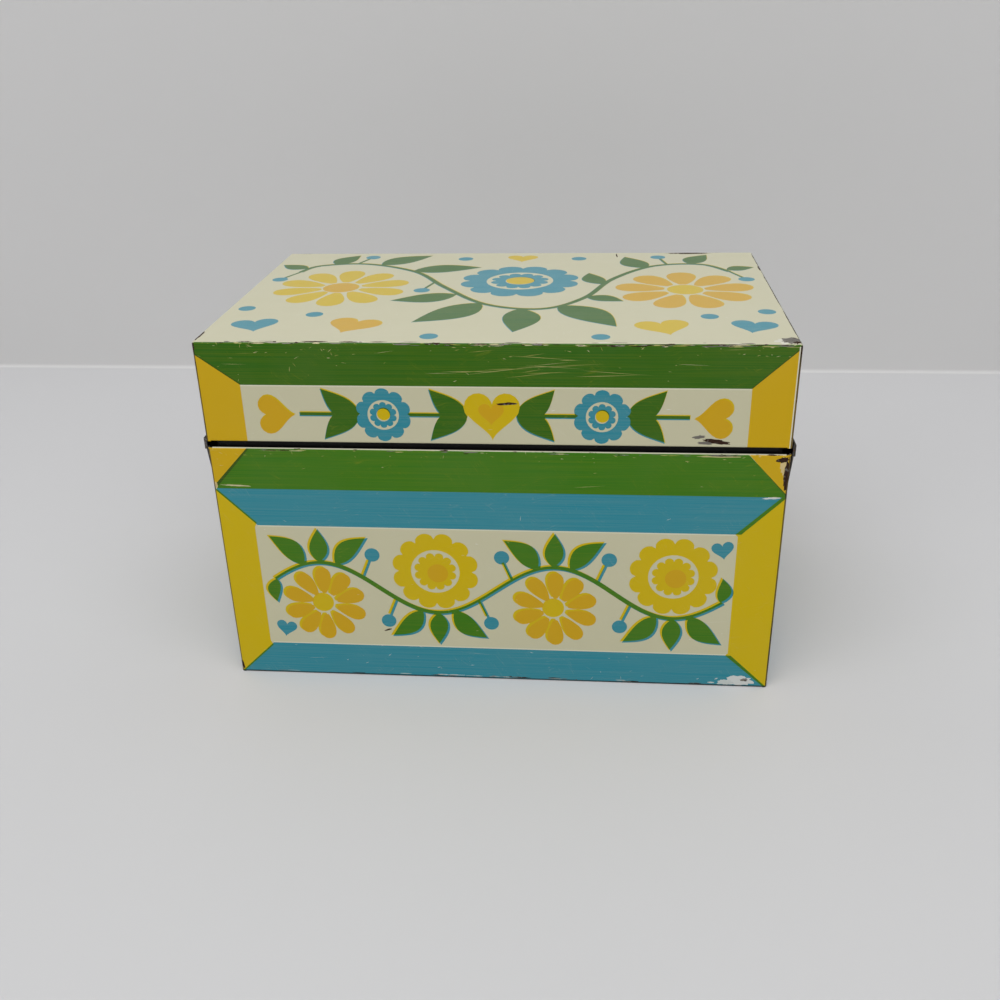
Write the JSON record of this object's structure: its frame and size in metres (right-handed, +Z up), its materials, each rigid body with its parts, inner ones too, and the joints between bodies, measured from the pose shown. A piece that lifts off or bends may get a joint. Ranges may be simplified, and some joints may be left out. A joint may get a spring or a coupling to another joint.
{
  "type": "recipe card box",
  "caption": "Hinged printed tinplate box for index cards, with an inner collar that centres the lid and a curled wire hinge along the back.",
  "frame": {"origin": "middle of the footprint, on the surface that the box stands on", "axes": "+Z up, +X to the right across the printed front, the front faces -Y and the hinge is at +Y"},
  "size_m": [0.1356, 0.085, 0.0885],
  "materials": {
    "printed_tinplate": "varnished offset print over cream, lightly scratched, worn to the metal at corners and folds",
    "bare_tinplate": "aged bright tin with a gold lacquer tint and fine rub marks",
    "black_lacquer": "black stoving lacquer, semi-gloss",
    "hinge_wire": "drawn wire, dulled with brown spots"
  },
  "bodies": {
    "base": {"base_shell": "printed_tinplate", "base_bottom": "bare_tinplate", "base_collar": "black_lacquer", "hinge_pin": "hinge_wire"},
    "lid": {"lid_shell": "printed_tinplate"}
  },
  "joints": [
    {"name": "lid_hinge", "type": "hinge", "parent": "base", "child": "lid", "pos_m": [0, 0.04135, 0.064], "axis": [-1, 0, 0], "range_deg": [0, 105]}
  ]
}
